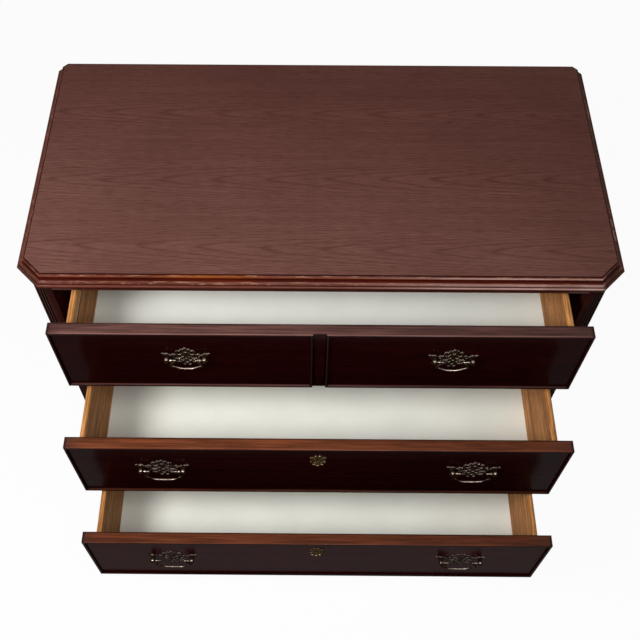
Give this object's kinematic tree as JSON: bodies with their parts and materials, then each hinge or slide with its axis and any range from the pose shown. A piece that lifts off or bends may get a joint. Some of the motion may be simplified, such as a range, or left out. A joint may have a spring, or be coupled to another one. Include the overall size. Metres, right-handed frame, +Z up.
{
  "type": "chest of drawers",
  "caption": "Low chest of drawers with a moulded top, fluted canted corners, cock-beaded sliding drawers, brass bail pulls on pierced plates and bracket feet.",
  "frame": {"origin": "on the floor, under the middle of the case in plan", "axes": "+X to the right as seen from the front, +Y to the back, +Z up; drawers open towards -Y"},
  "size_m": [1.004, 0.8075, 0.81],
  "materials": {
    "top_veneer": "satin",
    "mahogany": "satin",
    "front_veneer": "gloss",
    "oak": "satin",
    "pale_panel": "painted",
    "inner_wood": "sawn",
    "back_board": "matt",
    "antique_brass": "aged",
    "steel": "plain"
  },
  "bodies": {
    "bottom_drawer_bail_left": {"bottom_drawer_bail_left": "antique_brass"},
    "bottom_drawer_bail_right": {"bottom_drawer_bail_right": "antique_brass"},
    "middle_drawer_bail_left": {"middle_drawer_bail_left": "antique_brass"},
    "middle_drawer_bail_right": {"middle_drawer_bail_right": "antique_brass"},
    "top_drawer_bail_left": {"top_drawer_bail_left": "antique_brass"},
    "top_drawer_bail_right": {"top_drawer_bail_right": "antique_brass"},
    "top_drawer": {"top_drawer_back": "oak", "top_drawer_beads": "front_veneer", "top_drawer_bottom": "pale_panel", "top_drawer_centre_stile": "front_veneer", "top_drawer_front": "front_veneer", "top_drawer_pull_plates": "antique_brass", "top_drawer_pull_posts": "antique_brass", "top_drawer_side_left": "oak", "top_drawer_side_right": "oak"},
    "middle_drawer": {"middle_drawer_back": "oak", "middle_drawer_beads": "front_veneer", "middle_drawer_bottom": "pale_panel", "middle_drawer_escutcheon": "antique_brass", "middle_drawer_front": "front_veneer", "middle_drawer_pull_plates": "antique_brass", "middle_drawer_pull_posts": "antique_brass", "middle_drawer_side_left": "oak", "middle_drawer_side_right": "oak"},
    "bottom_drawer": {"bottom_drawer_back": "oak", "bottom_drawer_beads": "front_veneer", "bottom_drawer_bottom": "pale_panel", "bottom_drawer_escutcheon": "antique_brass", "bottom_drawer_front": "front_veneer", "bottom_drawer_pull_plates": "antique_brass", "bottom_drawer_pull_posts": "antique_brass", "bottom_drawer_side_left": "oak", "bottom_drawer_side_right": "oak"},
    "case": {"back_panel": "back_board", "base_board": "inner_wood", "base_moulding": "mahogany", "bottom_rail": "mahogany", "corner_post_left": "mahogany", "corner_post_right": "mahogany", "drawer_guides": "inner_wood", "drawer_runners": "inner_wood", "drawer_stops": "inner_wood", "foot_blocks": "inner_wood", "foot_front_left": "mahogany", "foot_front_right": "mahogany", "foot_rear_left": "mahogany", "foot_rear_right": "mahogany", "lower_rail": "mahogany", "rear_rails": "inner_wood", "side_panel_left": "mahogany", "side_panel_right": "mahogany", "top_cleats": "inner_wood", "top_edge_back": "mahogany", "top_edge_corners": "mahogany", "top_edge_front": "mahogany", "top_edge_sides": "mahogany", "top_panel": "top_veneer", "top_rail": "mahogany", "top_screws": "steel", "upper_rail": "mahogany"}
  },
  "joints": [
    {"name": "top_drawer_slide", "type": "slide", "parent": "case", "child": "top_drawer", "axis": [0, -1, 0], "range_m": [-0.081, 0.269]},
    {"name": "top_drawer_bail_left_hinge", "type": "hinge", "parent": "top_drawer", "child": "top_drawer_bail_left", "pos_m": [-0.2245, -0.34125, 0.6925], "axis": [-1, 0, 0], "range_deg": [-10, 95]},
    {"name": "top_drawer_bail_right_hinge", "type": "hinge", "parent": "top_drawer", "child": "top_drawer_bail_right", "pos_m": [0.2245, -0.34125, 0.6925], "axis": [-1, 0, 0], "range_deg": [-10, 95]},
    {"name": "middle_drawer_slide", "type": "slide", "parent": "case", "child": "middle_drawer", "axis": [0, -1, 0], "range_m": [-0.1915, 0.1585]},
    {"name": "middle_drawer_bail_left_hinge", "type": "hinge", "parent": "middle_drawer", "child": "middle_drawer_bail_left", "pos_m": [-0.2815, -0.45175, 0.481], "axis": [-1, 0, 0], "range_deg": [-10, 95]},
    {"name": "middle_drawer_bail_right_hinge", "type": "hinge", "parent": "middle_drawer", "child": "middle_drawer_bail_right", "pos_m": [0.2815, -0.45175, 0.481], "axis": [-1, 0, 0], "range_deg": [-10, 95]},
    {"name": "bottom_drawer_slide", "type": "slide", "parent": "case", "child": "bottom_drawer", "axis": [0, -1, 0], "range_m": [-0.2865, 0.0635]},
    {"name": "bottom_drawer_bail_left_hinge", "type": "hinge", "parent": "bottom_drawer", "child": "bottom_drawer_bail_left", "pos_m": [-0.2815, -0.54675, 0.2625], "axis": [-1, 0, 0], "range_deg": [-10, 95]},
    {"name": "bottom_drawer_bail_right_hinge", "type": "hinge", "parent": "bottom_drawer", "child": "bottom_drawer_bail_right", "pos_m": [0.2815, -0.54675, 0.2625], "axis": [-1, 0, 0], "range_deg": [-10, 95]}
  ]
}
